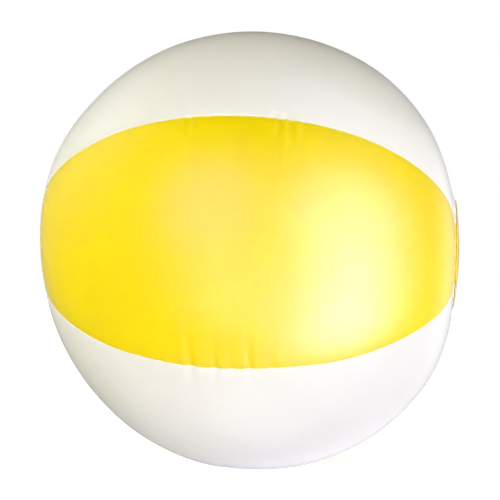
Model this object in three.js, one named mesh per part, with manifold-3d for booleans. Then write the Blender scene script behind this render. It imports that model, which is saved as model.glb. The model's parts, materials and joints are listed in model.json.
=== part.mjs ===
// Blow-up beach ball of six welded gores, yellow and white in turn, with two end discs and an air valve.
// Sizes are millimetres and angles are degrees. +Z is up, the poles lie on X, the centre is the origin.
// A yellow gore faces -Y. The valve is in the white gore that faces +Y, its stem pushed in and its plug shut.
import * as THREE from 'three';
import { mergeVertices } from 'three/addons/utils/BufferGeometryUtils.js';
import Module from 'manifold-3d';

const wasm = await Module();
wasm.setup();

// Ball
const ballRadius = 140;
const poleReach = 132;
const shoulderAngle = 24.5;
const shoulderPower = 3;
const seamDraw = 1.8;
const crownPower = 4;

// Film and its lapped seams
const filmThickness = 0.25;
const lapWidth = 4;
const lapGap = 0.1;
const joggleWidth = 1.2;

// End discs
const discRadius = 35;
const tipHoleRadius = 12;
const discGap = 0.15;

// Flat patch that the ball rests on
const restRadius = 18;
const restFadeRadius = 45;

// Valve seat in the rear gore, flat, with a punched hole
const seatRadius = 19;
const filmHoleRadius = 10;
const punchStroke = 2;
const weldGap = 0.1;

// Valve flange and its lip
const flangeRadius = 16;
const flangeThickness = 0.8;
const lipRadius = 9.8;
const lipProud = 0.3;
const flangeBoreRadius = 9;

// Folding skirt between flange and stem
const skirtGap = 0.15;
const skirtThickness = 0.7;
const skirtEdge = 0.6;

// Stem
const stemSunk = 1.2;
const stemLength = 11.8;
const stemRadius = 4.4;
const boreRadius = 3.3;
const collarDrop = 6.5;
const collarRadius = 5.6;
const collarThickness = 1;
const mouthChamfer = 0.4;
const seatGap = 0.1;

// Check flap over the stem's inner end
const flapRadius = 4;
const flapWebWidth = 3;
const flapThickness = 0.5;

// Plug
const headRadius = 5.4;
const headThickness = 1.6;
const headDish = 0.4;
const headRound = 0.5;
const dishRadius = 3.8;
const shankClearance = 0.2;
const shankTaper = 0.25;
const shankLength = 6;

// Tether between plug and stem
const tetherDiameter = 1.2;
const tetherGap = 0.15;
const tetherTurn = 200;
const tetherLift = 0.4;
const tetherDrop = 3.2;
const tetherLevelOut = 0.8;
const tetherCloseIn = 0.2;

// How finely the round forms are divided
const flankSteps = 10;
const capSteps = 2;
const columnSteps = 8;
const turnedSides = 24;
const stationHalvings = 50;
const tetherSides = 8;
const tetherSteps = 16;

// Points closer together than this are one point
const samePoint = 0.0001;

// Materials
const yellowFilm = new THREE.MeshStandardMaterial({ color: 0xffe61e, roughness: 0.28, metalness: 0 });
const whiteFilm = new THREE.MeshStandardMaterial({ color: 0xf4f3ee, roughness: 0.28, metalness: 0 });
const clearVinyl = new THREE.MeshStandardMaterial({ color: 0xe9ebea, roughness: 0.35, metalness: 0 });

// The gores in their order round the poles, from the one that faces -Y up over the top
const gores = [
  { name: 'yellow_gore_front', material: yellowFilm, laps: false },
  { name: 'white_gore_upper', material: whiteFilm, laps: true },
  { name: 'yellow_gore_rear_upper', material: yellowFilm, laps: false },
  { name: 'white_gore_rear', material: whiteFilm, laps: true },
  { name: 'yellow_gore_rear_lower', material: yellowFilm, laps: false },
  { name: 'white_gore_lower', material: whiteFilm, laps: true },
];
const goreAngle = 360 / gores.length;
const halfGore = goreAngle / 2;

const toRadians = THREE.MathUtils.degToRad;
const toDegrees = THREE.MathUtils.radToDeg;

// Form of the blown-up film

// Distance from the centre to the film at an angle from the +X pole, before the seams draw it in
function meridian(station) {
  const fromPole = Math.min(station, 180 - station);
  const flattening = Math.exp(-((fromPole / shoulderAngle) ** shoulderPower));
  return ballRadius - (ballRadius - poleReach) * flattening;
}

// Radius about X of the film at a station
function girth(station) {
  return meridian(station) * Math.sin(toRadians(station));
}

// The station at which the film's radius about X is the one given
function stationAt(radius) {
  let low = 0;
  let high = 90;
  for (let step = 0; step < stationHalvings; step += 1) {
    const middle = (low + high) / 2;
    if (girth(middle) < radius) low = middle;
    else high = middle;
  }
  return high;
}

// How far the film lies inside its crown: most at a seam, least at a gore's middle
function drawIn(station, angle) {
  const fromMiddle = THREE.MathUtils.euclideanModulo(angle + halfGore, goreAngle) - halfGore;
  const crown = Math.abs(fromMiddle / halfGore) ** crownPower;
  return seamDraw * crown * Math.sin(toRadians(station)) ** 2;
}

// Angle about X that a distance along the film takes at a station
function angleFor(distance, station) {
  return toDegrees(distance / girth(station));
}

// Half the angle between a gore's two lap lines
function halfField(station) {
  return halfGore - angleFor(lapWidth, station);
}

// Stations from one pole hole to the other
const tipStation = stationAt(tipHoleRadius);
const discStation = stationAt(discRadius);
const capStations = [];
for (let step = 0; step < capSteps; step += 1) {
  capStations.push(THREE.MathUtils.lerp(tipStation, discStation, step / capSteps));
}
const flankStations = [];
for (let step = 0; step < flankSteps; step += 1) {
  flankStations.push(THREE.MathUtils.lerp(discStation, 90, step / flankSteps));
}
const nearHalf = [...capStations, ...flankStations];
const farHalf = nearHalf.map((station) => 180 - station).reverse();
const stations = [...nearHalf, 90, ...farHalf];
const besideEquator = nearHalf[nearHalf.length - 1];

// A flat spot on the film: the grid's block of cells round it becomes a disc that is square to its normal
function flatSpot(normal, side, radius, across) {
  return {
    normal,
    side,
    radius,
    across,
    along: meridian(besideEquator) * Math.cos(toRadians(besideEquator)),
    level: Math.sqrt(ballRadius ** 2 - radius ** 2),
  };
}

const columnAngle = (2 * halfField(90)) / columnSteps;
const restSpot = flatSpot(
  new THREE.Vector3(0, 0, -1),
  new THREE.Vector3(0, 1, 0),
  restRadius,
  ballRadius * Math.sin(toRadians(angleFor(lapWidth, 90) + columnAngle)),
);
const valveSpot = flatSpot(
  new THREE.Vector3(0, 1, 0),
  new THREE.Vector3(0, 0, 1),
  seatRadius,
  ballRadius * Math.sin(toRadians(columnAngle)),
);

// Moves a point of the spot's block onto the flat disc, and leaves every other point
function settle(point, spot) {
  if (point.dot(spot.normal) <= 0) return point;
  const along = point.x / spot.along;
  const across = point.dot(spot.side) / spot.across;
  const ring = Math.max(Math.abs(along), Math.abs(across));
  if (ring > 1 + samePoint) return point;
  const scale = ring === 0 ? 0 : (ring * spot.radius) / Math.hypot(along, across);
  return new THREE.Vector3(along * scale, 0, 0)
    .addScaledVector(spot.side, across * scale)
    .addScaledVector(spot.normal, spot.level);
}

// A point of the film at a depth below the gores' outer face
function filmPoint(station, angle, depth) {
  const theta = toRadians(station);
  const turn = toRadians(angle);
  const outward = new THREE.Vector3(
    Math.cos(theta),
    -Math.sin(theta) * Math.cos(turn),
    Math.sin(theta) * Math.sin(turn),
  );
  const free = outward.clone().multiplyScalar(meridian(station));
  const fromRest = free.z < 0 ? Math.hypot(free.x, free.y) : restFadeRadius;
  const slack = THREE.MathUtils.smoothstep(fromRest, restRadius, restFadeRadius);
  free.addScaledVector(outward, -drawIn(station, angle) * slack);
  const settled = settle(settle(free, restSpot), valveSpot);
  return settled.setLength(settled.length() - depth);
}

// Closed bodies

// Triangles of a grid of points, rows along the stations and columns round the poles
function gridTriangles(rows, columns, wraps) {
  const triangles = [];
  const bands = wraps ? columns : columns - 1;
  for (let row = 0; row < rows - 1; row += 1) {
    for (let column = 0; column < bands; column += 1) {
      const next = (column + 1) % columns;
      const a = row * columns + column;
      const b = row * columns + next;
      const c = (row + 1) * columns + column;
      const d = (row + 1) * columns + next;
      triangles.push([a, b, c], [b, d, c]);
    }
  }
  return triangles;
}

// Joins an outer and an inner sheet with the same triangles along their free edges
function closeFilm(outer, inner, triangles) {
  const count = outer.length;
  const edges = new Set();
  for (const [a, b, c] of triangles) {
    edges.add(`${a},${b}`);
    edges.add(`${b},${c}`);
    edges.add(`${c},${a}`);
  }
  const index = [];
  for (const [a, b, c] of triangles) {
    index.push(a, b, c, a + count, c + count, b + count);
  }
  for (const edge of edges) {
    const [a, b] = edge.split(',').map(Number);
    if (edges.has(`${b},${a}`)) continue;
    index.push(b, a, a + count, b, a + count, b + count);
  }
  const positions = [...outer, ...inner].flatMap((point) => point.toArray());
  const geometry = new THREE.BufferGeometry();
  geometry.setAttribute('position', new THREE.Float32BufferAttribute(positions, 3));
  geometry.setIndex(index);
  geometry.computeVertexNormals();
  return geometry;
}

// A closed geometry as a solid that can be cut
function toSolid(geometry) {
  const bare = geometry.clone();
  bare.deleteAttribute('normal');
  bare.deleteAttribute('uv');
  const merged = mergeVertices(bare, samePoint);
  return new wasm.Manifold(new wasm.Mesh({
    numProp: 3,
    vertProperties: new Float32Array(merged.attributes.position.array),
    triVerts: new Uint32Array(merged.index.array),
  }));
}

function fromSolid(solid) {
  const mesh = solid.getMesh();
  const geometry = new THREE.BufferGeometry();
  geometry.setAttribute('position', new THREE.BufferAttribute(mesh.vertProperties, 3));
  geometry.setIndex(new THREE.BufferAttribute(mesh.triVerts, 1));
  geometry.computeVertexNormals();
  return geometry;
}

// Turns a closed profile of radius and height about Y
function turned(profile) {
  const points = [...profile, profile[0]].map(([radius, height]) => new THREE.Vector2(radius, height));
  return new THREE.LatheGeometry(points, turnedSides);
}

// Turns a profile that starts and ends on the axis
function turnedOnAxis(profile) {
  return new THREE.LatheGeometry(profile.map(([radius, height]) => new THREE.Vector2(radius, height)), turnedSides);
}

// Gores

// Columns between the lap lines, as angles from the gore's middle
function fieldColumns(station) {
  const columns = [];
  for (let step = 0; step <= columnSteps; step += 1) {
    columns.push({ angle: halfField(station) * ((2 * step) / columnSteps - 1), depth: 0 });
  }
  return columns;
}

// A gore that lies on top at its seams ends at the seam line
function topColumns(station) {
  return [{ angle: -halfGore, depth: 0 }, ...fieldColumns(station), { angle: halfGore, depth: 0 }];
}

// A gore that lies beneath steps down at its seams and runs on under its neighbours
function lappedColumns(station) {
  const under = filmThickness + lapGap;
  const stepAngle = halfGore - angleFor(joggleWidth, station);
  const lapAngle = halfGore + angleFor(lapWidth, station);
  return [
    { angle: -lapAngle, depth: under },
    { angle: -halfGore, depth: under },
    { angle: -stepAngle, depth: 0 },
    ...fieldColumns(station),
    { angle: stepAngle, depth: 0 },
    { angle: halfGore, depth: under },
    { angle: lapAngle, depth: under },
  ];
}

function goreGeometry(middle, columnsAt) {
  const outer = [];
  const inner = [];
  for (const station of stations) {
    for (const { angle, depth } of columnsAt(station)) {
      outer.push(filmPoint(station, middle + angle, depth));
      inner.push(filmPoint(station, middle + angle, depth + filmThickness));
    }
  }
  return closeFilm(outer, inner, gridTriangles(stations.length, columnsAt(90).length, false));
}

// The rear gore has a hole punched for the valve
function punchValveHole(geometry) {
  const punch = new THREE.CylinderGeometry(filmHoleRadius, filmHoleRadius, punchStroke, turnedSides);
  punch.translate(0, valveSpot.level, 0);
  return fromSolid(toSolid(geometry).subtract(toSolid(punch)));
}

function buildGores() {
  return gores.map(({ name, material, laps }, place) => {
    const middle = place * goreAngle;
    const plain = goreGeometry(middle, laps ? lappedColumns : topColumns);
    const geometry = middle === 180 ? punchValveHole(plain) : plain;
    return named(name, geometry, material);
  });
}

// End discs, welded over the gores' tips

function endDiscGeometry(atStations, pole) {
  const outer = [];
  const inner = [];
  let around = 0;
  for (const station of atStations) {
    around = 0;
    for (let place = 0; place < gores.length; place += 1) {
      const columns = [{ angle: -halfGore }, ...fieldColumns(station)];
      for (const { angle } of columns) {
        outer.push(filmPoint(station, place * goreAngle + angle, -discGap - filmThickness));
        inner.push(filmPoint(station, place * goreAngle + angle, -discGap));
        around += 1;
      }
    }
  }
  const triangles = gridTriangles(atStations.length, around, true);
  const centre = outer.length;
  outer.push(filmPoint(pole, 0, -discGap - filmThickness));
  inner.push(filmPoint(pole, 0, -discGap));
  const nearest = pole === 0 ? 0 : (atStations.length - 1) * around;
  for (let column = 0; column < around; column += 1) {
    const here = nearest + column;
    const next = nearest + ((column + 1) % around);
    triangles.push(pole === 0 ? [centre, next, here] : [centre, here, next]);
  }
  return closeFilm(outer, inner, triangles);
}

function buildEndDiscs() {
  const nearPole = [...capStations, discStation];
  const farPole = nearPole.map((station) => 180 - station).reverse();
  return [
    named('end_disc_right', endDiscGeometry(nearPole, 0), yellowFilm),
    named('end_disc_left', endDiscGeometry(farPole, 180), yellowFilm),
  ];
}

// Valve, with heights measured outwards from the seat's outer face

const flangeTop = -filmThickness - weldGap;
const stemTop = -stemSunk;
const stemEnd = stemTop - stemLength;
const collarTop = stemTop - collarDrop;
const shankRadius = boreRadius - shankClearance;

function flangeGeometry() {
  return turned([
    [flangeBoreRadius, lipProud],
    [flangeBoreRadius, flangeTop - flangeThickness],
    [flangeRadius, flangeTop - flangeThickness],
    [flangeRadius, flangeTop],
    [lipRadius, flangeTop],
    [lipRadius, lipProud],
  ]);
}

function skirtGeometry() {
  const outerTop = flangeBoreRadius - skirtGap;
  const top = flangeTop - skirtGap;
  const innerEnd = stemRadius + skirtGap;
  const end = collarTop + skirtGap;
  return turned([
    [outerTop - skirtThickness, top],
    [innerEnd, end],
    [innerEnd + skirtThickness, end],
    [outerTop, top - skirtEdge],
    [outerTop, top],
  ]);
}

function stemGeometry() {
  return turned([
    [boreRadius, stemTop - mouthChamfer],
    [boreRadius, stemEnd],
    [stemRadius, stemEnd],
    [stemRadius, collarTop - collarThickness],
    [collarRadius, collarTop - collarThickness],
    [collarRadius, collarTop],
    [stemRadius, collarTop],
    [stemRadius, stemTop],
    [boreRadius + mouthChamfer, stemTop],
  ]);
}

// The flap is a disc with a straight web on top, by which it hangs at the stem's outer edge
function flapGeometry() {
  const webAngle = Math.asin(flapWebWidth / 2 / flapRadius);
  const outline = new THREE.Shape();
  outline.absarc(0, 0, flapRadius, Math.PI / 2 + webAngle, Math.PI * 2.5 - webAngle);
  outline.lineTo(flapWebWidth / 2, stemRadius);
  outline.lineTo(-flapWebWidth / 2, stemRadius);
  outline.closePath();
  const geometry = new THREE.ExtrudeGeometry(outline, {
    depth: flapThickness,
    bevelEnabled: false,
    curveSegments: turnedSides / 2,
  });
  geometry.rotateX(Math.PI / 2);
  geometry.translate(0, stemEnd - seatGap, 0);
  return geometry;
}

function plugGeometry() {
  const under = stemTop + seatGap;
  const top = under + headThickness;
  return turnedOnAxis([
    [0, under - shankLength],
    [shankRadius - shankTaper, under - shankLength],
    [shankRadius, under - shankTaper],
    [shankRadius, under],
    [headRadius - headRound, under],
    [headRadius, under + headRound],
    [headRadius, top - headRound],
    [headRadius - headRound, top],
    [dishRadius + headDish, top],
    [dishRadius, top - headDish],
    [0, top - headDish],
  ]);
}

// The tether leaves the plug's head, runs round the stem inside the skirt and ends against the stem's wall
function tetherGeometry() {
  const radius = tetherDiameter / 2;
  const startRadius = headRadius + tetherGap + radius;
  const endRadius = stemRadius + tetherGap + radius;
  const startHeight = stemTop + tetherLift;
  const points = [];
  for (let step = 0; step <= tetherSteps; step += 1) {
    const share = step / tetherSteps;
    const turn = toRadians(tetherTurn * share);
    const reach = THREE.MathUtils.lerp(startRadius, endRadius, THREE.MathUtils.smoothstep(share, tetherCloseIn, 1));
    const height = startHeight - tetherDrop * THREE.MathUtils.smoothstep(share, 0, tetherLevelOut);
    points.push(new THREE.Vector3(reach * Math.cos(turn), height, reach * Math.sin(turn)));
  }
  const section = new THREE.Shape().absarc(0, 0, radius, 0, 2 * Math.PI);
  return new THREE.ExtrudeGeometry(section, {
    extrudePath: new THREE.CatmullRomCurve3(points),
    steps: tetherSteps,
    curveSegments: tetherSides / 2,
  });
}

function buildValve() {
  const valve = new THREE.Group();
  valve.position.set(0, valveSpot.level, 0);
  valve.add(
    named('valve_flange', flangeGeometry(), clearVinyl),
    named('valve_skirt', skirtGeometry(), clearVinyl),
    named('valve_stem', stemGeometry(), clearVinyl),
    named('check_flap', flapGeometry(), clearVinyl),
    named('valve_plug', plugGeometry(), clearVinyl),
    named('plug_tether', tetherGeometry(), clearVinyl),
  );
  return valve;
}

function named(name, geometry, material) {
  const mesh = new THREE.Mesh(geometry, material);
  mesh.name = name;
  return mesh;
}

const group = new THREE.Group();
group.add(...buildGores(), ...buildEndDiscs(), buildValve());

export default group;
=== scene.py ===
"""Blown-up beach ball: the looks of six vinyl gores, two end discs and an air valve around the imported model.

Lengths are metres and angles are degrees unless a name says otherwise. +Z is up, the poles lie on X, a yellow
gore faces -Y and the valve faces +Y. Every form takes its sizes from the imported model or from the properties.
"""
import json
import math

import bpy
import numpy as np
from mathutils import Matrix, Vector

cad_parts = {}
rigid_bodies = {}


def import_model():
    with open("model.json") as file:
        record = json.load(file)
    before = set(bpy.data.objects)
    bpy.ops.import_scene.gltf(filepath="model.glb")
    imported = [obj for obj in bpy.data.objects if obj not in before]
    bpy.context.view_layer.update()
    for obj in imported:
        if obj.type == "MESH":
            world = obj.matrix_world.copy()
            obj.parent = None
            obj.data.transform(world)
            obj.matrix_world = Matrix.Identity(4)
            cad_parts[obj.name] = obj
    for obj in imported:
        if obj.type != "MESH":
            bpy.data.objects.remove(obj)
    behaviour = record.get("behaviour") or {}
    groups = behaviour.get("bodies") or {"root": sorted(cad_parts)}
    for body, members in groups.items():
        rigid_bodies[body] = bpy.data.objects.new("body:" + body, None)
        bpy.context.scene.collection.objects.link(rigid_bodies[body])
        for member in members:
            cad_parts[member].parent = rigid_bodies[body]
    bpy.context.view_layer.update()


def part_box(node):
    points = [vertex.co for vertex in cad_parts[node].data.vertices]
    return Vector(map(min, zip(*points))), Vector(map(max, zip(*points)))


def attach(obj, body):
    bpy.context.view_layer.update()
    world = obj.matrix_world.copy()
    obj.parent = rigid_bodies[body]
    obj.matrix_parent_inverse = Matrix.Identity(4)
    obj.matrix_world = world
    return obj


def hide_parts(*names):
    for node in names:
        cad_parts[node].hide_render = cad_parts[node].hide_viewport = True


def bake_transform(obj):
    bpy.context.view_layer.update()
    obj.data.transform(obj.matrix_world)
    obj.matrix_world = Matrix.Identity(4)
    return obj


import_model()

bl_info = {
    "name": "Beach Ball",
    "version": (1, 0, 0),
    "blender": (4, 5, 0),
    "location": "3D View > Sidebar > Beach Ball",
    "description": "Makes a blown-up beach ball of vinyl gores with its air valve, and a plain studio",
    "category": "Add Mesh",
}

MM = 0.001


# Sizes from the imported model

def low(node):
    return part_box(node)[0]


def high(node):
    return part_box(node)[1]


# How far an end disc stands off the film at its pole
DISC_BUILD = 0.4 * MM

BALL_RADIUS = -low("yellow_gore_front").y
POLE_REACH = high("end_disc_right").x - DISC_BUILD
FLOOR_LEVEL = low("white_gore_lower").z
SEAT_LEVEL = high("white_gore_rear").y
DISC_RADIUS = high("end_disc_right").z
STEM_TOP = high("valve_stem").y
STEM_END = low("valve_stem").y
COLLAR_RADIUS = high("valve_stem").x
PLUG_TOP = high("valve_plug").y
PLUG_END = low("valve_plug").y
HEAD_RADIUS = high("valve_plug").x
FLANGE_RADIUS = high("valve_flange").x
LIP_TOP = high("valve_flange").y
FLANGE_UNDER = low("valve_flange").y
SKIRT_TOP = high("valve_skirt").y
SKIRT_END = low("valve_skirt").y
SKIRT_RADIUS = high("valve_skirt").x
FLAP_RADIUS = high("check_flap").x
TETHER_TOP = high("plug_tether").y
TETHER_END = low("plug_tether").y

# The gores round the poles, from the front one up over the top: name, middle angle, slot, laps beneath
GORES = (
    ("yellow_gore_front", 0, "yellow_film", False),
    ("white_gore_upper", 60, "white_film", True),
    ("yellow_gore_rear_upper", 120, "yellow_film", False),
    ("white_gore_rear", 180, "white_film", True),
    ("yellow_gore_rear_lower", 240, "yellow_film", False),
    ("white_gore_lower", 300, "white_film", True),
)
GORE_ANGLE = 360 / len(GORES)
HALF_GORE = GORE_ANGLE / 2

# Creases at the two seams that the camera sees, in millimetres: place along the seam from its middle, width,
# depth, reach on the side of greater angle and reach on the side of smaller angle
UPPER_FRONT_CREASES = (
    (-20, 2.6, 0.55, 7, 13), (-9, 2.5, 0.3, 7, 6), (3, 3.0, 0.2, 8, 5), (24.5, 2.1, 0.45, 6, 12),
    (30.5, 2.1, 0.65, 8, 15), (37, 2.1, 0.6, 5, 15), (44, 2.3, 0.45, 4, 12))
LOWER_FRONT_CREASES = (
    (-46, 3.0, 0.3, 6, 9), (-32, 2.8, 0.35, 6, 10), (-14.5, 2.9, 0.85, 17, 9), (-1, 2.3, 0.6, 12, 6),
    (8, 2.2, 0.4, 10, 4), (18, 2.3, 0.85, 14, 5), (30, 2.2, 0.4, 10, 4))

# Creases of the seams out of sight: seed, least number on a seam and one past the most, range of places, and
# ranges of width, depth and the two reaches
CREASE_SEED = 28
CREASE_COUNTS = (6, 9)
CREASE_PLACES = (-62, 62)
CREASE_RANGES = ((2.0, 3.2), (0.2, 0.55), (5, 14), (5, 14))

# How a crease waves across its width, and how firmly it ends at its reach
CREASE_WAVES = 1.5
CREASE_FADE = 1.6

# How far the two seams in front stray from a true meridian, in millimetres: place along the seam from its
# middle and offset towards greater angles
UPPER_FRONT_WANDER = (
    (-150, -4.0), (-100, -2.9), (-50, -2.0), (0, -1.7), (40, -0.6), (75, 0.6), (105, 0.2), (140, -1.0))
LOWER_FRONT_WANDER = (
    (-150, 3.5), (-100, 2.4), (-50, 1.5), (0, 0.7), (30, 0.4), (75, -1.6), (110, -1.2), (140, -0.3))

# Wander of the seams out of sight: seed, and places along the seam and range of offsets in millimetres
WANDER_SEED = 61
WANDER_PLACES = range(-150, 151, 50)
WANDER_RANGE = (-1.1, 1.1)

# Reach of each offset along a seam in millimetres, and distances from a disc's rim between which wander grows
WANDER_SPREAD = 28
WANDER_SPAN = (-8 * MM, 30 * MM)

# Soft swells and hollows of the blown-up film: station, angle and spread in degrees, height in millimetres
SWELLS = (
    (28, 77, 17, -2.7), (118, 68, 30, 0.9), (153, 34, 16, 2.0),
    (139, -61, 22, -2.2), (60, -82, 26, 2.6), (94, -78, 24, 1.7))

# Fine unevenness all over, made of crossed waves: height in millimetres, then each wave's direction and phase
RIPPLES = (
    (0.12, (9.0, 0.0, 4.0), 0.6, (0.0, -5.0, 7.0), 1.9),
    (0.06, (17.0, -11.0, 0.0), 0.3, (0.0, 8.0, 13.0), 2.4),
)

# The dip that the round weld of an end disc draws in the film, in millimetres from the disc's rim outwards
DIP_PLACE = 4.5
DIP_WIDTH = 4

# Short radial puckers in that dip: how many, the waves that make their spacing uneven (size, number and
# phase), and their depth, place, width and start in millimetres
DISC_PUCKERS = 27
PUCKER_SPACING = ((1.3, 5, 0.0), (0.9, 3, 1.0))
PUCKER_DEPTH = 0.3
PUCKER_PLACE = 4
PUCKER_WIDTH = 7
PUCKER_START = (-4, 1)

# Marks of the welding on an end disc, measured in from its rim: flat band and pressed groove
BAND_INSET = 2.2 * MM
GROOVE_INSET = 4.2 * MM

# Distance at which the film is free of its rest spot, and those over which it leaves the valve's flat seat
REST_FREE = 45 * MM
SEAT_SPAN = (19 * MM, 34 * MM)

# Distance outside a disc's rim at which creases and swells reach their full height
RIM_FREE = 12 * MM


# Properties

class BallForm(bpy.types.PropertyGroup):
    radius: bpy.props.FloatProperty(
        name="Radius", description="Centre to the middle of a gore at the equator",
        default=BALL_RADIUS, unit="LENGTH")
    pole_reach: bpy.props.FloatProperty(
        name="Pole Reach", description="Centre to the film at a pole", default=POLE_REACH, unit="LENGTH")
    shoulder: bpy.props.FloatProperty(
        name="Shoulder", description="How far the flattening at a pole reaches, in degrees", default=24.5)
    seam_draw: bpy.props.FloatProperty(
        name="Seam Draw", description="How far a seam lies inside the crowns beside it",
        default=1.8 * MM, unit="LENGTH")
    seam_turn: bpy.props.FloatProperty(
        name="Seam Turn", description="How much further the film turns in close to a seam",
        default=0.65 * MM, unit="LENGTH")
    disc_tuck: bpy.props.FloatProperty(
        name="Disc Tuck", description="How far the weld round an end disc draws the film in",
        default=0.8 * MM, unit="LENGTH")
    film: bpy.props.FloatProperty(
        name="Film", description="Thickness of the vinyl film", default=0.25 * MM, unit="LENGTH")
    lap: bpy.props.FloatProperty(
        name="Lap", description="Width of the lap that the white gores run under the yellow ones",
        default=4 * MM, unit="LENGTH")
    rest_radius: bpy.props.FloatProperty(
        name="Rest Spot", description="Radius of the flat spot that the ball rests on",
        default=math.sqrt(BALL_RADIUS ** 2 - FLOOR_LEVEL ** 2), unit="LENGTH")
    hole_radius: bpy.props.FloatProperty(
        name="Valve Hole", description="Radius of the hole in the film for the valve",
        default=10 * MM, unit="LENGTH")
    creases: bpy.props.FloatProperty(
        name="Creases", description="Strength of the short creases across the seams", default=1.0, min=0.0)
    unevenness: bpy.props.FloatProperty(
        name="Unevenness", description="Strength of the film's soft hollows and swells", default=1.0, min=0.0)


class BallFinish(bpy.types.PropertyGroup):
    yellow: bpy.props.FloatVectorProperty(
        name="Yellow", description="Colour of the yellow film", subtype="COLOR", size=3,
        default=(1.0, 0.785, 0.0))
    white: bpy.props.FloatVectorProperty(
        name="White", description="Colour of the white film", subtype="COLOR", size=3,
        default=(0.885, 0.874, 0.8))
    clear: bpy.props.FloatVectorProperty(
        name="Valve", description="Colour of the valve's cloudy vinyl", subtype="COLOR", size=3,
        default=(0.66, 0.69, 0.68))
    roughness: bpy.props.FloatProperty(
        name="Roughness", description="Roughness of the film", default=0.18, min=0.0, max=1.0)


class BallStudio(bpy.types.PropertyGroup):
    distance: bpy.props.FloatProperty(
        name="Distance", description="Camera to the ball's centre", default=4.5 * BALL_RADIUS, unit="LENGTH")
    azimuth: bpy.props.FloatProperty(
        name="Azimuth", description="How far round the camera stands, in degrees", default=8.7)
    rise: bpy.props.FloatProperty(
        name="Rise", description="How far the camera turns up about the pole axis, in degrees", default=-2.0)
    roll: bpy.props.FloatProperty(
        name="Roll", description="How far the camera leans, in degrees", default=1.6)
    lens: bpy.props.FloatProperty(
        name="Lens", description="Focal length in millimetres", default=68.7)
    softbox: bpy.props.FloatProperty(
        name="Softboxes", description="Brightness of the softboxes and panels that show in the film's gloss",
        default=1.0, min=0.0)
    key: bpy.props.FloatProperty(
        name="Lamps", description="Brightness of the lamps that light the film's colour",
        default=1.0, min=0.0)


def form():
    return bpy.context.scene.beach_ball_form


def finish():
    return bpy.context.scene.beach_ball_finish


def studio():
    return bpy.context.scene.beach_ball_studio


# Shader maths

class Signal:
    """A socket's value. Python's operators on it add the Math nodes that they stand for."""

    def __init__(self, shader, socket):
        self.shader = shader
        self.socket = socket

    def maths(self, operation, *values):
        return self.shader.node("Math", dict(enumerate(values)), {"operation": operation})

    def __add__(self, other):
        return self.maths("ADD", self, other)

    def __radd__(self, other):
        return self.maths("ADD", other, self)

    def __sub__(self, other):
        return self.maths("SUBTRACT", self, other)

    def __rsub__(self, other):
        return self.maths("SUBTRACT", other, self)

    def __mul__(self, other):
        return self.maths("MULTIPLY", self, other)

    def __rmul__(self, other):
        return self.maths("MULTIPLY", other, self)

    def __pow__(self, other):
        return self.maths("POWER", self, other)

    def __abs__(self):
        return self.maths("ABSOLUTE", self)

    def ramp(self, start, stop):
        """0 below start, 1 above stop and a smooth rise between, or the reverse where stop is the smaller."""
        return self.shader.node(
            "MapRange", {"Value": self, "From Min": start, "From Max": stop},
            {"interpolation_type": "SMOOTHERSTEP"})


class Shader:
    """A material's or world's nodes."""

    def __init__(self, tree):
        self.tree = tree
        tree.nodes.clear()

    def node(self, kind, values=None, settings=None, output=0):
        """Adds a shader node with its settings and a value or a link for each named or numbered socket."""
        node = self.tree.nodes.new("ShaderNode" + kind)
        for name, value in (settings or {}).items():
            setattr(node, name, value)
        for name, value in (values or {}).items():
            if isinstance(value, Signal):
                self.tree.links.new(value.socket, node.inputs[name])
            else:
                node.inputs[name].default_value = value
        return Signal(self, node.outputs[output]) if len(node.outputs) else None

    def mix(self, factor, first, second):
        """One colour at a factor of 0 and the other at 1."""
        return self.node("Mix", {0: factor, 6: first, 7: second}, {"data_type": "RGBA"}, 2)

    def axes(self, vector):
        """The three components of a vector."""
        return [self.node("SeparateXYZ", {"Vector": vector}, output=axis) for axis in range(3)]

    def noise(self, place, scale, detail=2.0, roughness=0.5, distortion=0.0):
        return self.node(
            "TexNoise",
            {"Vector": place, "Scale": scale, "Detail": detail, "Roughness": roughness,
             "Distortion": distortion})


def opaque(colour, share=1.0):
    return (*(channel * share for channel in colour), 1.0)


# Materials

def new_material(name):
    """A material of nodes and the shader to make them with."""
    material = bpy.data.materials.new(name)
    material.use_nodes = True
    return material, Shader(material.node_tree)


def weld_distances(shader, place):
    """Distances of a place on the ball from the nearest seam and from the weld band of an end disc."""
    _, y, z = shader.axes(place)
    girth = (y * y + z * z) ** 0.5
    turn = z.maths("ARCTAN2", z, -1 * y)
    from_middle = turn.maths("WRAP", turn, math.radians(HALF_GORE), -math.radians(HALF_GORE))
    from_seam = (math.radians(HALF_GORE) - abs(from_middle)) * girth
    return from_seam, abs(girth - (DISC_RADIUS - BAND_INSET))


# Distances at which the flattened film of a weld begins and is complete
SEAM_WELD = (4.6 * MM, 3.4 * MM)
BAND_WELD = (1.5 * MM, 1.1 * MM)

# The darker tone of a film's mottling as a share of its colour, and the tint of its gloss
YELLOW_SHADE = (0.97, 0.94, 0.9)
YELLOW_GLOSS = (0.85, 0.36, 1.0)
WHITE_SHADE = (0.975, 0.975, 0.96)
WHITE_GLOSS = (1.0, 1.0, 1.0)

# Darker, browner colour that the valve's vinyl takes in patches near its axis, inside its lip, and the
# distances from the axis at which it begins and is full
VALVE_DARK_TONE = (0.55, 0.53, 0.45)
VALVE_DARK_REACH = (9.5 * MM, 8.2 * MM)


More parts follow.
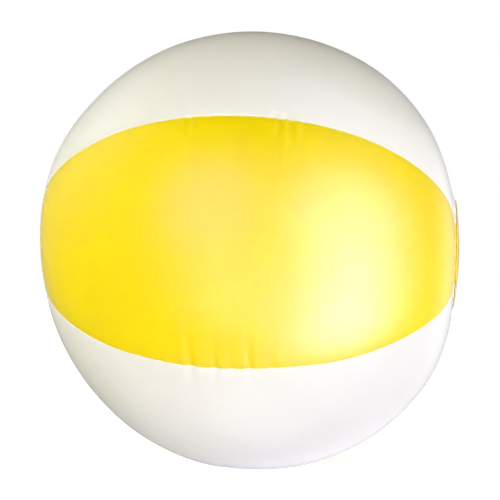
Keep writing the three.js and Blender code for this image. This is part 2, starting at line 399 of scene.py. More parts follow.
def vinyl_film(name, colour, darkening, gloss_tint):
    """Vinyl film: soft gloss, faint mottling, handling marks and flatter welds at seams and disc edges."""
    shade = tuple(channel * share for channel, share in zip(colour, darkening))
    material, shader = new_material(name)
    place = shader.node("TexCoord", output="Object")
    mottle = shader.noise(place, scale=26.0, detail=3.0)
    smudge = shader.noise(place, scale=9.0, detail=4.0, roughness=0.6, distortion=0.8).ramp(0.5, 0.72)
    grain = shader.noise(place, scale=1400.0)
    peel = shader.noise(place, scale=240.0)
    stretched = shader.node(
        "Mapping", {"Vector": place, "Scale": (30.0, 900.0, 700.0), "Rotation": (0.4, 0.2, 0.7)})
    scuffs = shader.noise(stretched, scale=1.0, detail=3.0, roughness=0.7).ramp(0.66, 0.78)
    to_seam, to_band = weld_distances(shader, place)
    weld = to_seam.ramp(*SEAM_WELD)
    ring = to_band.ramp(*BAND_WELD)
    weld_edge = weld * (1 - weld) * 4 - ring * 1.5
    tone = shader.mix(mottle.ramp(0.35, 0.65) * 0.6, opaque(colour), opaque(shade))
    tone = shader.mix(weld.maths("MAXIMUM", weld * 0.25, ring * 0.5), tone, opaque(shade))
    roughness = finish().roughness - 0.03 + mottle * 0.05 + smudge * 0.05 + scuffs * 0.12 + weld * 0.05
    relief = peel * 0.6 + grain * 0.12 + weld_edge * 0.8 - scuffs * 0.4
    bump = shader.node("Bump", {"Strength": 0.22, "Distance": 0.05 * MM, "Height": relief})
    surface = shader.node(
        "BsdfPrincipled",
        {"Base Color": tone, "Roughness": roughness, "Normal": bump, "IOR": 1.53, "Specular IOR Level": 0.5,
         "Specular Tint": opaque(gloss_tint)})
    shader.node("OutputMaterial", {"Surface": surface})
    return material


def valve_vinyl(name, colour):
    """Thick, slightly cloudy moulded vinyl with a fine mould texture."""
    material, shader = new_material(name)
    place = shader.node("TexCoord", output="Object")
    cloud = shader.noise(place, scale=220.0, detail=3.0)
    grain = shader.noise(place, scale=2600.0)
    x, _, z = shader.axes(place)
    from_axis = (x * x + z * z) ** 0.5
    # Darker, browner patches near the valve's axis, inside its lip
    dark_patches = from_axis.ramp(*VALVE_DARK_REACH) * cloud.ramp(0.45, 0.7) * 0.25
    tone = shader.mix(cloud.ramp(0.3, 0.7) * 0.5, opaque(colour), opaque(colour, 0.9))
    tone = shader.mix(dark_patches, tone, opaque(VALVE_DARK_TONE))
    bump = shader.node(
        "Bump", {"Strength": 0.3, "Distance": 0.03 * MM, "Height": grain * 0.5 + cloud * 0.5})
    surface = shader.node(
        "BsdfPrincipled",
        {"Base Color": tone, "Roughness": 0.32 + cloud * 0.12, "Normal": bump, "IOR": 1.5})
    shader.node("OutputMaterial", {"Surface": surface})
    return material


def material_for(slot):
    """The slot's finish, made the first time that it is asked for."""
    name = slot + "_finish"
    if name in bpy.data.materials:
        return bpy.data.materials[name]
    if slot == "yellow_film":
        return vinyl_film(name, finish().yellow, YELLOW_SHADE, YELLOW_GLOSS)
    if slot == "white_film":
        return vinyl_film(name, finish().white, WHITE_SHADE, WHITE_GLOSS)
    return valve_vinyl(name, finish().clear)


# Form of the film

def meridian(station):
    """Distance from the centre to the film at an angle from the +X pole."""
    from_pole = np.minimum(station, 180 - station)
    flattening = np.exp(-((from_pole / form().shoulder) ** 3))
    return form().radius - (form().radius - form().pole_reach) * flattening


def girth(station):
    return meridian(station) * np.sin(np.radians(station))


def angle_for(distance, station):
    """Angle about X, in degrees, that a distance along the film takes at a station."""
    return np.degrees(distance / np.maximum(girth(station), MM))


def station_at(radius):
    """The station nearer the +X pole at which the film's radius about X is the one given."""
    stations = np.linspace(0, 90, 4001)
    return float(np.interp(radius, girth(stations), stations))


def unit(vectors):
    return vectors / np.linalg.norm(vectors, axis=-1, keepdims=True)


def smooth(low_edge, high_edge, value):
    share = np.clip((value - low_edge) / (high_edge - low_edge), 0, 1)
    return share * share * (3 - 2 * share)


def seam_creases():
    """Creases of each seam, the one above the front gore first. Those out of sight are drawn from a seed."""
    rng = np.random.default_rng(CREASE_SEED)
    creases = [UPPER_FRONT_CREASES]
    for _ in range(len(GORES) - 2):
        count = rng.integers(*CREASE_COUNTS)
        places = np.sort(rng.uniform(*CREASE_PLACES, count))
        creases.append(tuple((place, *(rng.uniform(*span) for span in CREASE_RANGES)) for place in places))
    creases.append(LOWER_FRONT_CREASES)
    return creases


def seam_wanders():
    """Wander of each seam, in the order of the creases. Those out of sight are drawn from a seed."""
    rng = np.random.default_rng(WANDER_SEED)
    wanders = [UPPER_FRONT_WANDER]
    for _ in range(len(GORES) - 2):
        wanders.append(tuple((place, rng.uniform(*WANDER_RANGE)) for place in WANDER_PLACES))
    wanders.append(LOWER_FRONT_WANDER)
    return wanders


CREASES = seam_creases()
WANDERS = seam_wanders()


def nearest_seam(station, angle):
    """The seam's number, the angle to it and the place along it in millimetres from its middle."""
    seam = np.round((angle - HALF_GORE) / GORE_ANGLE)
    along = form().radius * np.radians(90 - station) / MM
    return seam.astype(int) % len(GORES), angle - HALF_GORE - seam * GORE_ANGLE, along


def crease_depth(station, angle):
    """How far the short creases across the seams push the film in."""
    seam, apart, along = nearest_seam(station, angle)
    beside = np.radians(apart) * girth(station) / MM
    depth = np.zeros_like(station)
    for number, creases in enumerate(CREASES):
        here = seam == number
        for place, width, height, reach_up, reach_down in creases:
            reach = np.where(beside > 0, reach_up, reach_down)
            off = (along - place) / width
            fold = np.cos(off * CREASE_WAVES) * np.exp(-0.5 * off ** 2)
            fade = np.exp(-((np.abs(beside) / reach) ** CREASE_FADE))
            depth += np.where(here, height * fold * fade, 0)
    return depth * MM * form().creases


def stray(station, angle):
    """Angle by which the film beside a wandering seam is shifted: all of it at the seam, none mid-gore."""
    seam, apart, along = nearest_seam(station, angle)
    share = np.cos(np.radians(apart * 90 / HALF_GORE)) ** 2
    offset = np.zeros_like(station)
    for number, wander in enumerate(WANDERS):
        places, sizes = np.array(wander).T
        weight = np.exp(-(((along[..., None] - places) / WANDER_SPREAD) ** 2))
        smoothed = (weight * sizes).sum(-1) / weight.sum(-1)
        offset = np.where(seam == number, smoothed, offset)
    fade = smooth(*WANDER_SPAN, girth(station) - DISC_RADIUS)
    return angle_for(offset * MM * share * fade * form().unevenness, station)


def outward_at(station, angle):
    """Direction from the ball's centre at a station and an angle about X."""
    theta, turn = np.radians(station), np.radians(angle)
    return np.stack([np.cos(theta), -np.sin(theta) * np.cos(turn), np.sin(theta) * np.sin(turn)], axis=-1)


def swell_height(outward):
    """Soft unevenness of the blown-up film."""
    height = np.zeros(outward.shape[:-1])
    for station, angle, spread, rise in SWELLS:
        apart = np.degrees(np.arccos(np.clip(outward @ outward_at(station, angle), -1, 1)))
        height += rise * np.exp(-((apart / spread) ** 2))
    for rise, first, first_phase, second, second_phase in RIPPLES:
        first_wave = np.sin(outward @ np.array(first) + first_phase)
        second_wave = np.sin(outward @ np.array(second) + second_phase)
        height += rise * first_wave * second_wave
    return height * MM * form().unevenness


def disc_dip(station, angle):
    """How far the round weld of an end disc draws the film in, with puckers of uneven spacing and depth."""
    from_rim = (girth(station) - DISC_RADIUS) / MM
    turn = np.radians(angle)
    shift = sum(size * np.sin(number * turn + phase) for size, number, phase in PUCKER_SPACING)
    waves = np.cos(DISC_PUCKERS * turn + shift)
    strength = 0.65 + 0.35 * np.sin(4 * turn + 0.7) * np.sin(7 * turn)
    near_rim = np.exp(-(((from_rim - PUCKER_PLACE) / PUCKER_WIDTH) ** 2)) * smooth(*PUCKER_START, from_rim)
    puckers = PUCKER_DEPTH * MM * waves * strength * near_rim * form().creases
    return form().disc_tuck * np.exp(-(((from_rim - DIP_PLACE) / DIP_WIDTH) ** 2)) + puckers


def film_points(station, angle, depth):
    """Points of the film at a depth below its outer face."""
    station, angle, depth = np.broadcast_arrays(
        np.asarray(station, float), np.asarray(angle, float), np.asarray(depth, float))
    outward = outward_at(station, angle + stray(station, angle))
    from_middle = (angle + HALF_GORE) % GORE_ANGLE - HALF_GORE
    edge_share = np.abs(from_middle / HALF_GORE)
    crown = form().seam_draw * edge_share ** 4 + form().seam_turn * edge_share ** 12
    crown = crown * np.sin(np.radians(station)) ** 2
    from_rest = np.hypot(outward[..., 0], outward[..., 1]) * form().radius
    slack = np.where(outward[..., 2] < 0, smooth(form().rest_radius, REST_FREE, from_rest), 1.0)
    from_seat = np.hypot(outward[..., 0], outward[..., 2]) * form().radius
    slack *= np.where(outward[..., 1] > 0, smooth(*SEAT_SPAN, from_seat), 1.0)
    girdle = smooth(DISC_RADIUS, DISC_RADIUS + RIM_FREE, girth(station))
    drawn = crown * slack + crease_depth(station, angle) * slack * girdle + disc_dip(station, angle)
    reach = meridian(station) - drawn + swell_height(outward) * slack * girdle
    points = outward * reach[..., None]
    points[..., 2] = np.maximum(points[..., 2], FLOOR_LEVEL)
    points[..., 1] = np.minimum(points[..., 1], SEAT_LEVEL)
    length = np.linalg.norm(points, axis=-1, keepdims=True)
    return points * (1 - depth[..., None] / length)


# Meshes

def grid_faces(rows, columns, wraps=False):
    bands = columns if wraps else columns - 1
    return [
        (row * columns + column, row * columns + (column + 1) % columns,
         (row + 1) * columns + (column + 1) % columns, (row + 1) * columns + column)
        for row in range(rows - 1) for column in range(bands)]


def close_sheets(outer, inner, faces):
    """Vertices and faces of a closed body between two sheets that have the same faces."""
    count = len(outer)
    edges = {}
    for face in faces:
        for here, there in zip(face, face[1:] + face[:1]):
            edges[(here, there)] = True
    rim = [
        (there, here, here + count, there + count)
        for here, there in edges if (there, here) not in edges]
    back = [tuple(corner + count for corner in reversed(face)) for face in faces]
    return np.concatenate([outer, inner]), list(faces) + back + rim


# Angle in degrees above which an edge is shaded sharp
SHARP_ANGLE = 35


def add_object(name, data):
    """Puts a mesh, lamp or camera into the scene."""
    added = bpy.data.objects.new(name, data)
    bpy.context.scene.collection.objects.link(added)
    return added


def add_mesh(name, points, faces):
    mesh = bpy.data.meshes.new(name)
    mesh.from_pydata([tuple(point) for point in points], [], faces)
    return add_object(name, mesh)


def add_piece(name, points, faces, slot, node):
    """Makes a mesh object from points and faces, smooth-shaded, that stands for a CAD node."""
    piece = add_mesh(name, points, faces)
    mesh = piece.data
    mesh.validate()
    mesh.update()
    mesh.shade_smooth()
    bpy.context.view_layer.objects.active = piece
    piece.select_set(True)
    mesh.set_sharp_from_angle(angle=math.radians(SHARP_ANGLE))
    piece.select_set(False)
    mesh.materials.append(material_for(slot))
    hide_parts(node)
    return piece


def turned(profile, sides=96):
    """Points and faces of a closed profile of (radius, height) turned about the valve's axis."""
    turn = np.radians(np.arange(sides) * 360 / sides)
    radius, height = profile[:, :1], profile[:, 1:]
    count = len(profile)
    points = np.stack(
        [radius * np.cos(turn), np.broadcast_to(height, (count, sides)), radius * np.sin(turn)], axis=-1)
    faces = [
        tuple(corner % (count * sides) for corner in face)
        for face in grid_faces(count + 1, sides, wraps=True)]
    return points.reshape(-1, 3), faces


def rounded(corners, steps=5):
    """A closed profile whose corners (radius, height, round) are eased by arcs of that size."""
    outline = []
    count = len(corners)
    for number, (x, y, size) in enumerate(corners):
        here = np.array([x, y])
        before = np.array(corners[number - 1][:2]) - here
        after = np.array(corners[(number + 1) % count][:2]) - here
        if size <= 0:
            outline.append(here)
            continue
        start, stop = here + unit(before) * size, here + unit(after) * size
        for share in np.linspace(0, 1, steps):
            outline.append((1 - share) ** 2 * start + 2 * share * (1 - share) * here + share ** 2 * stop)
    return np.array(outline)


# Operators

class BEACHBALL_OT_gores(bpy.types.Operator):
    """Make the six vinyl gores with their lapped seams and creases"""

    bl_idname = "beachball.gores"
    bl_label = "Gores"

    # Rows along a gore, steps across its open part, and how firmly these crowd towards its sides
    rows = 281
    across = 48
    crowding = 1.5

    # Radius about the pole axis at which a gore's tips end, beneath the discs
    tip_radius = 12 * MM

    # Distances of the open part and of the next columns from the seam, and shares of the lap for its columns
    open_inset = 1.6 * MM
    seam_insets = (1.0 * MM, 0.6 * MM, 0.25 * MM)
    lap_shares = (0.25, 0.6, 1.0)

    # Room between lapped films, distances from the seam in which the lower sinks, and easing of an upper edge
    lap_room = 0.08 * MM
    sink_span = (0.9 * MM, 0.05 * MM)
    edge_ease = 0.06 * MM

    # Sides of the punch for the valve's hole, and how far it reaches in and out of the film
    punch_sides = 128
    punch_reach = 3 * MM

    def columns(self, stations, laps):
        """Angles from the gore's middle and depths, one column for each step across."""
        share = np.linspace(-1, 1, self.across + 1)
        spread = np.sign(share) * (1 - (1 - np.abs(share)) ** self.crowding)
        field = HALF_GORE - angle_for(self.open_inset, stations)
        under = form().film + self.lap_room
        beside = [
            (-inset, under * smooth(*self.sink_span, inset) if laps else 0.0) for inset in self.seam_insets]
        beside.append((0.0, under if laps else self.edge_ease))
        if laps:
            beside += [(beyond * form().lap, under) for beyond in self.lap_shares]
        sunk = [depth for _, depth in beside]
        angles = [-HALF_GORE - angle_for(place, stations) for place, _ in reversed(beside)]
        angles += [field * step for step in spread]
        angles += [HALF_GORE + angle_for(place, stations) for place, _ in beside]
        depths = np.array(sunk[::-1] + [0.0] * len(spread) + sunk)
        return np.stack(angles, axis=1), np.broadcast_to(depths, (len(stations), len(depths)))

    def build(self, name, middle, slot, laps):
        tip = station_at(self.tip_radius)
        stations = np.linspace(tip, 180 - tip, self.rows)
        angles, depths = self.columns(stations, laps)
        station = np.broadcast_to(stations[:, None], angles.shape)
        outer = film_points(station, middle + angles, depths).reshape(-1, 3)
        inner = film_points(station, middle + angles, depths + form().film).reshape(-1, 3)
        faces = grid_faces(*angles.shape)
        points, faces = close_sheets(outer, inner, faces)
        piece = add_piece(name + "_film", points, faces, slot, name)
        if name == "white_gore_rear":
            self.punch(piece)
        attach(piece, "ball")

    def punch(self, piece):
        """Cuts the round hole for the valve."""
        sides = self.punch_sides
        turn = np.arange(sides) * 2 * math.pi / sides
        rings = [
            np.stack([form().hole_radius * np.cos(turn), np.full(sides, SEAT_LEVEL + level),
                      form().hole_radius * np.sin(turn)], axis=1)
            for level in (-self.punch_reach, self.punch_reach)]
        faces = [
            (side, sides + side, sides + (side + 1) % sides, (side + 1) % sides) for side in range(sides)]
        faces.append(tuple(range(sides)))
        faces.append(tuple(sides + side for side in reversed(range(sides))))
        cutter = add_mesh("hole_punch", np.concatenate(rings), faces)
        cut = piece.modifiers.new("valve_hole", "BOOLEAN")
        cut.operation = "DIFFERENCE"
        cut.object = cutter
        bpy.context.view_layer.update()
        evaluated = piece.evaluated_get(bpy.context.evaluated_depsgraph_get())
        result = bpy.data.meshes.new_from_object(evaluated)
        piece.modifiers.clear()
        piece.data = result
        bpy.data.objects.remove(cutter)

    def execute(self, context):
        for name, middle, slot, laps in GORES:
            self.build(name, middle, slot, laps)
        return {"FINISHED"}


class BEACHBALL_OT_end_discs(bpy.types.Operator):
    """Make the round discs welded over the poles"""

    bl_idname = "beachball.end_discs"
    bl_label = "End Discs"

    sides = 180

    # Rings of open part and edge, the first one's station, and how many degrees before the last ring the open
    # part ends and the edge starts
    open_rings, edge_rings = 30, 4
    first_ring, open_end, edge_start = 0.4, 0.9, 0.6

    # Width and depth of the pressed groove
    groove_width, groove_depth = 0.5 * MM, 0.1 * MM

    # Width and height of the ridges over the laps beneath, and the radii between which they rise
    ridge_width, ridge_height = 2.2 * MM, 0.14 * MM
    ridge_span = (10 * MM, 16 * MM)

    # How far the last ring lies inside the disc's radius, and the room between disc and gores
    rim_inset, room = 0.1 * MM, 0.2 * MM

    # How far the rim rolls down, and within how many degrees of the last ring
    roll_depth, roll_reach = 0.08 * MM, 0.25

    def build(self, name, near_pole):
        edge = station_at(DISC_RADIUS - self.rim_inset)
        stations = np.concatenate([
            np.linspace(self.first_ring, edge - self.open_end, self.open_rings),
            np.linspace(edge - self.edge_start, edge, self.edge_rings)])
        turn = np.arange(self.sides) * 360 / self.sides
        station, angle = np.meshgrid(stations, turn, indexing="ij")
        radius = girth(station)
        from_groove = radius - DISC_RADIUS + GROOVE_INSET
        groove = self.groove_depth * np.exp(-((from_groove / self.groove_width) ** 2))
        from_seam = np.radians((angle % GORE_ANGLE) - HALF_GORE) * radius
        ridge = self.ridge_height * np.exp(-((from_seam / self.ridge_width) ** 2))
        lift = self.room - groove + ridge * smooth(*self.ridge_span, radius)
        roll = np.where(station > edge - self.roll_reach, self.roll_depth, 0.0)
        if not near_pole:
            station = 180 - station
        outer = film_points(station, angle, -lift - form().film + roll).reshape(-1, 3)
        inner = film_points(station, angle, -lift).reshape(-1, 3)
        faces = grid_faces(len(stations), self.sides, wraps=True)
        pole = 0 if near_pole else 180
        centre = len(outer)
        outer = np.concatenate([outer, film_points(pole, 0, -self.room - form().film)[None]])
        inner = np.concatenate([inner, film_points(pole, 0, -self.room)[None]])
        faces += [(centre, (side + 1) % self.sides, side) for side in range(self.sides)]
        if not near_pole:
            faces = [tuple(reversed(face)) for face in faces]
        points, faces = close_sheets(outer, inner, faces)
        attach(add_piece(name + "_film", points, faces, "yellow_film", name), "ball")

    def execute(self, context):
        self.build("end_disc_right", True)
        self.build("end_disc_left", False)
        return {"FINISHED"}


class BEACHBALL_OT_valve(bpy.types.Operator):
    """Make the valve's flange, folding skirt, stem and check flap"""

    bl_idname = "beachball.valve"
    bl_label = "Valve"

    def flange(self):
        bore, lip, thickness = 9.0 * MM, 9.8 * MM, 0.8 * MM
        shoulder = FLANGE_UNDER + thickness
        profile = rounded([
            (bore, LIP_TOP, 0.3 * MM), (lip, LIP_TOP, 0.3 * MM), (lip, shoulder, 0.1 * MM),
            (FLANGE_RADIUS, shoulder, 0.2 * MM), (FLANGE_RADIUS, FLANGE_UNDER, 0.2 * MM),
            (bore, FLANGE_UNDER, 0.2 * MM)])
        points, faces = turned(profile)
        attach(add_piece("valve_flange_ring", points, faces, "valve_vinyl", "valve_flange"), "ball")

    def skirt(self):
        """A thin cone with a soft S in it, so that it can turn inside out."""
        steps = 28
        start_radius, end_radius = SKIRT_RADIUS - 0.35 * MM, 4.9 * MM
        half_wall, half_edge = 0.25 * MM, 0.15 * MM
        share = np.linspace(0, 1, steps)
        radius = start_radius + (end_radius - start_radius) * smooth(0, 1, share)
        height = SKIRT_TOP + (SKIRT_END - SKIRT_TOP) * share
        run = np.stack([np.gradient(radius), np.gradient(height)], axis=1)
        side = unit(np.stack([-run[:, 1], run[:, 0]], axis=1))
        half = np.full(steps, half_wall)
        half[[0, -1]] = half_edge
        middle = np.stack([radius, height], axis=1)
        profile = np.concatenate([middle + side * half[:, None], (middle - side * half[:, None])[::-1]])
        points, faces = turned(profile)
        piece = add_piece("valve_skirt_cone", points, faces, "valve_vinyl", "valve_skirt")
        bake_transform(piece)

    def stem(self):
        bore, wall = 3.3 * MM, 4.4 * MM
        mouth_height, collar_height = 6.5 * MM, 1.0 * MM
        collar_top = STEM_TOP - mouth_height
        collar_under = collar_top - collar_height
        profile = rounded([
            (bore, STEM_TOP, 0.4 * MM), (wall, STEM_TOP, 0.35 * MM), (wall, collar_top, 0.12 * MM),
            (COLLAR_RADIUS, collar_top, 0.25 * MM), (COLLAR_RADIUS, collar_under, 0.25 * MM),
            (wall, collar_under, 0.12 * MM), (wall, STEM_END, 0.2 * MM), (bore, STEM_END, 0.1 * MM)])
        points, faces = turned(profile)
        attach(add_piece("valve_stem_tube", points, faces, "valve_vinyl", "valve_stem"), "stem")

    def flap(self):
        """A flat disc, eased at its rim, with a short straight web to its hinge line."""
        half_web, sides = 1.5 * MM, 72
        hinge = high("check_flap").z
        start = math.asin(half_web / FLAP_RADIUS)
        turns = np.linspace(math.pi / 2 + start, math.pi * 2.5 - start, sides)
        rim = [(FLAP_RADIUS * math.cos(turn), FLAP_RADIUS * math.sin(turn)) for turn in turns]
        rim = np.array(rim + [(half_web, hinge), (-half_web, hinge)])
        count = len(rim)
        rings = ((0.02, 0.0), (0.5, 0.0), (0.96, 0.0), (1.0, 0.12 * MM))
        outer, inner = (
            np.concatenate([
                np.insert(rim * size, 1, level + easing * inward, axis=1) for size, easing in rings])
            for level, inward in ((low("check_flap").y, 1), (high("check_flap").y, -1)))
        faces = grid_faces(len(rings), count, wraps=True)
        faces.append(tuple(range(count)))
        points, faces = close_sheets(outer, inner, faces)
        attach(add_piece("check_flap_disc", points, faces, "valve_vinyl", "check_flap"), "flap")

    def execute(self, context):
        self.flange()
        self.skirt()
        self.stem()
        self.flap()
        return {"FINISHED"}


class BEACHBALL_OT_plug(bpy.types.Operator):
    """Make the plug and the tether that keeps it on the stem"""

    bl_idname = "beachball.plug"
    bl_label = "Plug and Tether"

    def plug(self):
        core, shank, shank_end = 0.02 * MM, 3.1 * MM, 2.85 * MM
        under = PLUG_TOP - 1.6 * MM
        dish_rim, dish, dish_level = 4.0 * MM, 3.5 * MM, PLUG_TOP - 0.4 * MM
        profile = rounded([
            (core, PLUG_END, 0), (shank_end, PLUG_END, 0.4 * MM), (shank, under, 0.1 * MM),
            (HEAD_RADIUS, under, 0.5 * MM), (HEAD_RADIUS, PLUG_TOP, 0.55 * MM),
            (dish_rim, PLUG_TOP, 0.2 * MM), (dish, dish_level, 0.3 * MM), (core, dish_level, 0)])
        points, faces = turned(profile)
        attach(add_piece("valve_plug_stopper", points, faces, "valve_vinyl", "valve_plug"), "plug")

    def tether(self):
        """A flat strap that leaves the plug's head, curls round the stem and ends at the stem's wall."""
        steps, sides = 72, 16
        curl, squareness = 200, 0.6
        start_reach, end_reach = 6.15 * MM, 5.15 * MM
        half_thick, half_wide, inset = 0.42 * MM, 0.62 * MM, 0.6 * MM
        share = np.linspace(0, 1, steps)
        turn = np.radians(curl) * share
        reach = start_reach + (end_reach - start_reach) * smooth(0.2, 1, share)
        height = TETHER_TOP - inset + (TETHER_END - TETHER_TOP + 2 * inset) * smooth(0, 0.8, share)
        centre = np.stack([reach * np.cos(turn), height, reach * np.sin(turn)], axis=1)
        forward = unit(np.gradient(centre, axis=0))
        outward = np.stack([np.cos(turn), np.zeros(steps), np.sin(turn)], axis=1)
        outward = unit(outward - forward * (outward * forward).sum(1)[:, None])
        across = np.cross(forward, outward)
        around = np.arange(sides) * 2 * math.pi / sides
        thick = half_thick * np.sign(np.cos(around)) * np.abs(np.cos(around)) ** squareness
        wide = half_wide * np.sign(np.sin(around)) * np.abs(np.sin(around)) ** squareness
        points = (
            centre[:, None, :] + outward[:, None, :] * thick[None, :, None]
            + across[:, None, :] * wide[None, :, None])
        faces = grid_faces(steps, sides, wraps=True)
        faces.append(tuple(reversed(range(sides))))
        faces.append(tuple((steps - 1) * sides + side for side in range(sides)))
        piece = add_piece("plug_tether_strap", points.reshape(-1, 3), faces, "valve_vinyl", "plug_tether")
        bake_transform(piece)

    def execute(self, context):
        self.plug()
        self.tether()
        return {"FINISHED"}


# Lamps for the film's colour: name, direction in the camera's right, up and back, radiance and colour
LAMPS = (
    ("key", (-0.36, 0.38, 0.85), 2.42, (1.0, 1.0, 1.04)),
    ("fill", (0.58, -0.71, 0.44), 1.62, (1.0, 0.99, 1.6)),
    ("side_right", (1.0, 0.05, 0.05), 2.25, (1.0, 1.0, 1.1)),
    ("side_left", (-0.93, 0.35, -0.1), 0.85, (1.0, 1.0, 0.7)),
    ("rear_key", (-0.68, 0.3, -0.67), 2.4, (1.0, 1.0, 1.05)),
    ("rear_fill", (0.6, -0.2, -0.7), 1.2, (1.0, 1.0, 1.1)),
)

# Films that a softbox lights. The empty one stands for all pieces outside the front half.
FRONT_GORE = ("yellow_gore_front",)
UPPER_GORE = ("white_gore_upper",)
FRONT_HALF = ("yellow_gore_front", "white_gore_upper", "white_gore_lower", "end_disc_right", "end_disc_left")
REAR_HALF = ()

WHITE_LIGHT = (1.0, 1.0, 1.0)

# Softboxes for the gloss alone, with soft edges: name, direction, spread in degrees, radiance, colour, films
SOFTBOXES = (
    ("softbox_low", (0.659, -0.494, 0.568), 28.0, 12.6, WHITE_LIGHT, FRONT_GORE),
    ("softbox_high", (0.705, 0.165, 0.69), 28.5, 9.6, WHITE_LIGHT, FRONT_GORE),
    ("sheen_low", (-0.157, -0.37, 0.916), 25.0, 3.2, WHITE_LIGHT, FRONT_HALF),
    ("sheen_high", (-0.343, 0.362, 0.867), 27.0, 3.0, WHITE_LIGHT, FRONT_HALF),
    ("cool_sheen", (0.36, 0.92, 0.14), 20.0, 1.2, (0.1, 0.15, 1.0), UPPER_GORE),
    ("rear_softbox", (-0.5, 0.45, -0.74), 25.0, 6.0, WHITE_LIGHT, REAR_HALF),
    ("rear_sheen", (0.65, -0.3, -0.7), 25.0, 1.5, WHITE_LIGHT, REAR_HALF),
)

# Weak round panels that the gloss mirrors: direction, spread in degrees and radiance
GLOSS_PANELS = (
    ((-0.791, 0.588, -0.169), 25.4, 0.6),
    ((0.747, -0.043, -0.664), 23.6, 0.9),
    ((0.6, -0.6, 0.45), 20.0, 1.0),
    ((0.0, -0.95, 0.2), 25.0, 1.3),
    ((-0.5, 0.1, -0.86), 24.0, 0.25),
    ((0.15, -0.6, -0.8), 22.0, 0.85),
    ((0.62, 0.77, -0.05), 20.0, 0.5),
)

# How firmly the edge of a softbox or panel falls off, where 1 is the softest
PANEL_EDGE = 1.25

# Colour and strength of the even light from the sides and from above, and strength of what the gloss mirrors
SIDE_LIGHT = (1.0, 0.99, 0.9)
SKY_LIGHT = (1.0, 0.95, 0.68)
SIDE_STRENGTH = 0.6
SKY_STRENGTH = 0.12
MIRRORED_STRENGTH = 0.12

# Distances of the lamps and softboxes from the ball's centre, and width of a lamp
LAMP_DISTANCE = 1.6
SOFTBOX_DISTANCE = 5.0
LAMP_WIDTH = 1.4

# The camera's sensor in millimetres, its shift as shares of the picture, and how far it sees
SENSOR_WIDTH = 36
CAMERA_SHIFT = (-0.0082, -0.0012)
CLIP_END = 50

# Half of the floor's width, its tone, its glow at the ball, what further away adds, and from where to where
FLOOR_REACH = 6.0
FLOOR_TONE = (0.8, 0.8, 0.8)
FLOOR_GLOW = 0.74
FLOOR_FAR_GLOW = 0.2
FLOOR_FAR_SPAN = (0.25, 0.9)


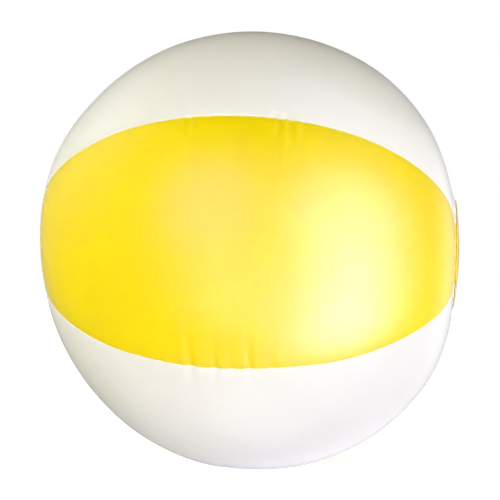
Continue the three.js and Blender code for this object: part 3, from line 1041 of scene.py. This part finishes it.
class BEACHBALL_OT_studio(bpy.types.Operator):
    """Make the floor, the lamps, the white surroundings and the camera"""

    bl_idname = "beachball.studio"
    bl_label = "Studio"

    def camera_axes(self):
        """The camera's right, up and back directions."""
        azimuth, rise, roll = map(math.radians, (studio().azimuth, studio().rise, studio().roll))
        back = Vector((math.sin(azimuth), -math.cos(azimuth), 0))
        right = Vector((math.cos(azimuth), math.sin(azimuth), 0))
        turn = Matrix.Rotation(-rise, 3, "X")
        back, right = turn @ back, turn @ right
        up = back.cross(right)
        leant_right = right * math.cos(roll) + up * math.sin(roll)
        leant_up = up * math.cos(roll) - right * math.sin(roll)
        return leant_right, leant_up, back

    def camera(self):
        right, up, back = self.camera_axes()
        data = bpy.data.cameras.new("camera")
        data.lens = studio().lens
        data.sensor_width = SENSOR_WIDTH
        data.shift_x, data.shift_y = CAMERA_SHIFT
        data.clip_end = CLIP_END
        camera = add_object("camera", data)
        placed = Matrix((right, up, back)).transposed().to_4x4()
        placed.translation = back * studio().distance
        camera.matrix_world = placed
        bpy.context.scene.camera = camera

    def floor(self):
        """A pale floor that the lamps shine through, with a glow of its own for the camera."""
        corners = [
            (FLOOR_REACH * x, FLOOR_REACH * y, FLOOR_LEVEL) for x, y in ((-1, -1), (1, -1), (1, 1), (-1, 1))]
        floor = add_mesh("floor", corners, [(0, 1, 2, 3)])
        material, shader = new_material("floor")
        matt = shader.node("BsdfDiffuse", {"Color": opaque(FLOOR_TONE)})
        seen = shader.node("LightPath", output="Is Camera Ray")
        place = shader.node("NewGeometry", output="Position")
        away = shader.node("VectorMath", {0: place}, {"operation": "LENGTH"}, 1)
        strength = FLOOR_GLOW + away.ramp(*FLOOR_FAR_SPAN) * FLOOR_FAR_GLOW
        glow = shader.node("Emission", {"Color": opaque(WHITE_LIGHT), "Strength": strength})
        both = shader.node("AddShader", {0: matt, 1: glow})
        surface = shader.node("MixShader", {0: seen, 1: matt, 2: both})
        shader.node("OutputMaterial", {"Surface": surface})
        floor.data.materials.append(material)
        floor.visible_glossy = False
        self.see_through = bpy.data.collections.new("light_table")
        self.see_through.objects.link(floor)
        self.see_through.collection_objects[0].light_linking.link_state = "EXCLUDE"

    def direction(self, toward):
        """A direction given in the camera's right, up and back."""
        right, up, back = self.camera_axes()
        return (right * toward[0] + up * toward[1] + back * toward[2]).normalized()

    def disc_lamp(self, name, toward, distance, width, radiance, colour):
        """A round area lamp that faces the ball, for the film's colour or for its gloss alone."""
        direction = self.direction(toward)
        data = bpy.data.lights.new(name, "AREA")
        data.shape = "DISK"
        data.size = width
        data.color = colour
        data.energy = radiance * (math.pi * width / 2) ** 2
        lamp = add_object(name, data)
        lamp.location = direction * distance
        lamp.rotation_euler = direction.to_track_quat("Z", "Y").to_euler()
        lamp.visible_camera = False
        lamp.light_linking.blocker_collection = self.see_through
        return lamp

    def fading(self, shader, way, toward, spread):
        """Share of a softbox's brightness in a direction: 1 at its middle, fading out round it."""
        values = {0: way, 1: self.direction(toward)}
        near = shader.node("VectorMath", values, {"operation": "DOT_PRODUCT"}, 1)
        fall = -1 * ((1 - near) * (2 / math.radians(spread) ** 2)) ** PANEL_EDGE
        return fall.maths("EXPONENT", fall)

    def receivers(self, name, films):
        """The pieces that a softbox lights: the films named, or all outside the front half if none is."""
        lit = bpy.data.collections.new(name + "_lights")
        for piece in bpy.context.scene.objects:
            film = piece.name.removesuffix("_film")
            chosen = film in films if films else film not in FRONT_HALF
            if chosen and piece.type == "MESH" and piece.name != "floor":
                lit.objects.link(piece)
        return lit

    def lamps(self):
        """Round lamps that colour the film: two in front, one at each side and two behind."""
        for name, toward, radiance, colour in LAMPS:
            lamp = self.disc_lamp(name, toward, LAMP_DISTANCE, LAMP_WIDTH, radiance * studio().key, colour)
            lamp.visible_glossy = False

    def softboxes(self):
        """Large lamps for the gloss, each on its own films, so that none glares on another film's rim."""
        for name, toward, spread, radiance, colour, films in SOFTBOXES:
            width = 2 * SOFTBOX_DISTANCE * math.tan(math.radians(2 * spread))
            radiance *= studio().softbox
            lamp = self.disc_lamp(name, toward, SOFTBOX_DISTANCE, width, radiance, colour)
            lamp.visible_diffuse = False
            lamp.light_linking.receiver_collection = self.receivers(name, films)
            lamp.data.use_nodes = True
            shader = Shader(lamp.data.node_tree)
            place = shader.node("NewGeometry", output="Position")
            way = shader.node("VectorMath", {0: place}, {"operation": "NORMALIZE"})
            level = self.fading(shader, way, toward, spread)
            glow = shader.node("Emission", {"Strength": level})
            shader.node("OutputLight", {"Surface": glow})

    def surroundings(self):
        """Even light from around, soft round panels that only gloss shows, and white for the camera."""
        world = bpy.data.worlds.new("surroundings")
        bpy.context.scene.world = world
        world.use_nodes = True
        world.cycles.sampling_method = "NONE"
        shader = Shader(world.node_tree)
        seen, through, glossy = (
            shader.node("LightPath", output=kind)
            for kind in ("Is Camera Ray", "Is Transmission Ray", "Is Glossy Ray"))
        way = shader.node("TexCoord", output="Generated")
        z = shader.axes(way)[2]
        ambient = (1 - z * z) * SIDE_STRENGTH + z.ramp(0.0, 1.0) * SKY_STRENGTH
        warmth = shader.mix(z.ramp(0.0, 1.0), opaque(SIDE_LIGHT), opaque(SKY_LIGHT))
        mirrored = (1 - abs(z)) * MIRRORED_STRENGTH
        for toward, spread, radiance in GLOSS_PANELS:
            mirrored = mirrored + self.fading(shader, way, toward, spread) * (radiance * studio().softbox)
        level = ambient * (1 - glossy) + mirrored * glossy
        direct = seen.maths("MAXIMUM", seen, through)
        level = level * (1 - direct) + direct
        colour = shader.mix(direct.maths("MAXIMUM", direct, glossy), warmth, opaque(WHITE_LIGHT))
        background = shader.node("Background", {"Color": colour, "Strength": level})
        shader.node("OutputWorld", {"Surface": background})

    def execute(self, context):
        bpy.context.scene.view_settings.view_transform = "Standard"
        self.camera()
        self.floor()
        self.lamps()
        self.softboxes()
        self.surroundings()
        return {"FINISHED"}


class BEACHBALL_PT_panel(bpy.types.Panel):
    bl_idname = "BEACHBALL_PT_panel"
    bl_label = "Beach Ball"
    bl_space_type = "VIEW_3D"
    bl_region_type = "UI"
    bl_category = "Beach Ball"

    def draw(self, context):
        for group in (form(), finish(), studio()):
            column = self.layout.column(align=True)
            for name in group.__annotations__:
                column.prop(group, name)
        for maker in MAKERS:
            self.layout.operator(maker.bl_idname)


MAKERS = (
    BEACHBALL_OT_gores,
    BEACHBALL_OT_end_discs,
    BEACHBALL_OT_valve,
    BEACHBALL_OT_plug,
    BEACHBALL_OT_studio,
)
GROUPS = (
    ("beach_ball_form", BallForm),
    ("beach_ball_finish", BallFinish),
    ("beach_ball_studio", BallStudio),
)


def register():
    for name, group in GROUPS:
        bpy.utils.register_class(group)
        setattr(bpy.types.Scene, name, bpy.props.PointerProperty(type=group))
    for maker in MAKERS:
        bpy.utils.register_class(maker)
    bpy.utils.register_class(BEACHBALL_PT_panel)


def unregister():
    bpy.utils.unregister_class(BEACHBALL_PT_panel)
    for maker in reversed(MAKERS):
        bpy.utils.unregister_class(maker)
    for name, group in reversed(GROUPS):
        delattr(bpy.types.Scene, name)
        bpy.utils.unregister_class(group)


def main():
    register()
    bpy.ops.beachball.gores()
    bpy.ops.beachball.end_discs()
    bpy.ops.beachball.valve()
    bpy.ops.beachball.plug()
    bpy.ops.beachball.studio()


if __name__ == "__main__":
    main()
